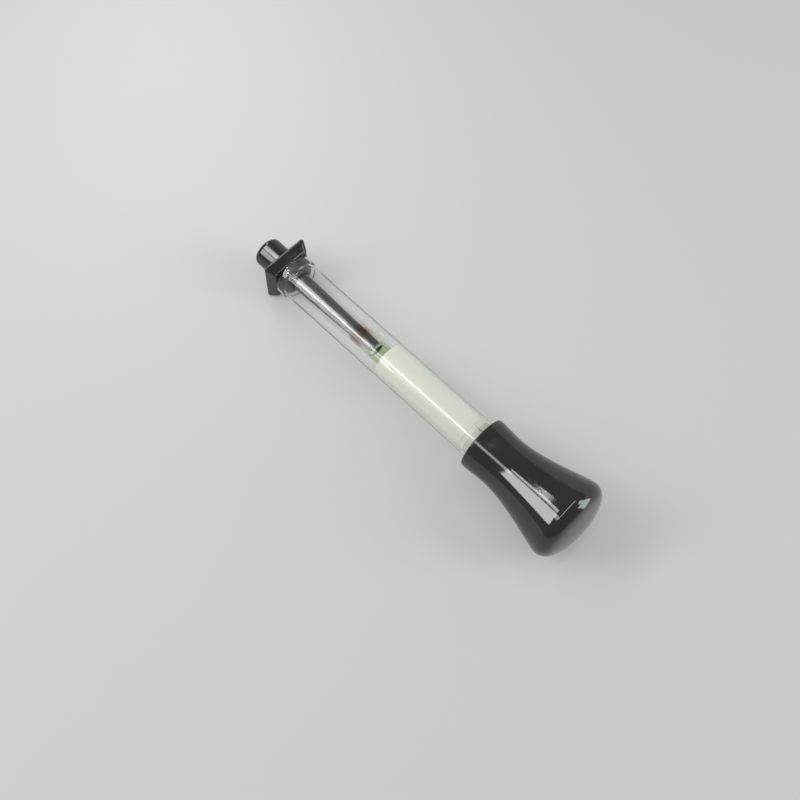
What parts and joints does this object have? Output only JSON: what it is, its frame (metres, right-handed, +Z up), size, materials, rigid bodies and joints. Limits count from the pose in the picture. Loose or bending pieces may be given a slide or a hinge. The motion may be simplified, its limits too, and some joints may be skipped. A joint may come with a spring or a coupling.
{
  "type": "battery hydrometer",
  "caption": "Battery acid tester lying at rest: clear barrel, rubber squeeze bulb, reversed rubber nozzle with square flange, banded float.",
  "frame": {"origin": "on the surface it lies on, below the middle of its bounding box", "axes": "+X from the nozzle to the bulb, along the surface; +Z up; the tool's own axis leans 2.6 degrees up towards the bulb"},
  "size_m": [0.1956, 0.0392, 0.0392],
  "materials": {
    "clear_plastic": "clear, polished",
    "guard_plastic": "moulded, satin",
    "nozzle_rubber": "black, glossy",
    "tube_plastic": "black, glossy",
    "float_plastic": "cream, satin",
    "cap_plastic": "cream, satin",
    "stem_plastic": "clear, slightly cloudy",
    "red_film": "printed film",
    "white_film": "printed film",
    "green_film": "printed film",
    "ballast_steel": "turned steel",
    "wad_foam": "pressed foam",
    "bulb_rubber": "black, glossy"
  },
  "bodies": {
    "barrel": {"barrel": "clear_plastic", "float_guard": "guard_plastic"},
    "nozzle": {"nozzle_stopper": "nozzle_rubber", "dip_tube": "tube_plastic"},
    "float": {"float_body": "float_plastic", "float_cap": "cap_plastic", "float_stem": "stem_plastic", "scale_red": "red_film", "scale_white": "white_film", "scale_green": "green_film", "float_ballast": "ballast_steel", "ballast_wad": "wad_foam"},
    "bulb": {"bulb": "bulb_rubber"}
  },
  "joints": [
    {"name": "float_slide", "type": "slide", "parent": "barrel", "child": "float", "axis": [0.999, 0, 0.0446], "range_m": [0, 0.0115]},
    {"name": "nozzle_pull", "type": "slide", "parent": "barrel", "child": "nozzle", "axis": [-0.999, 0, -0.0446], "range_m": [0, 0.056]},
    {"name": "bulb_pull", "type": "slide", "parent": "barrel", "child": "bulb", "axis": [0.999, 0, 0.0446], "range_m": [0, 0.022]}
  ]
}
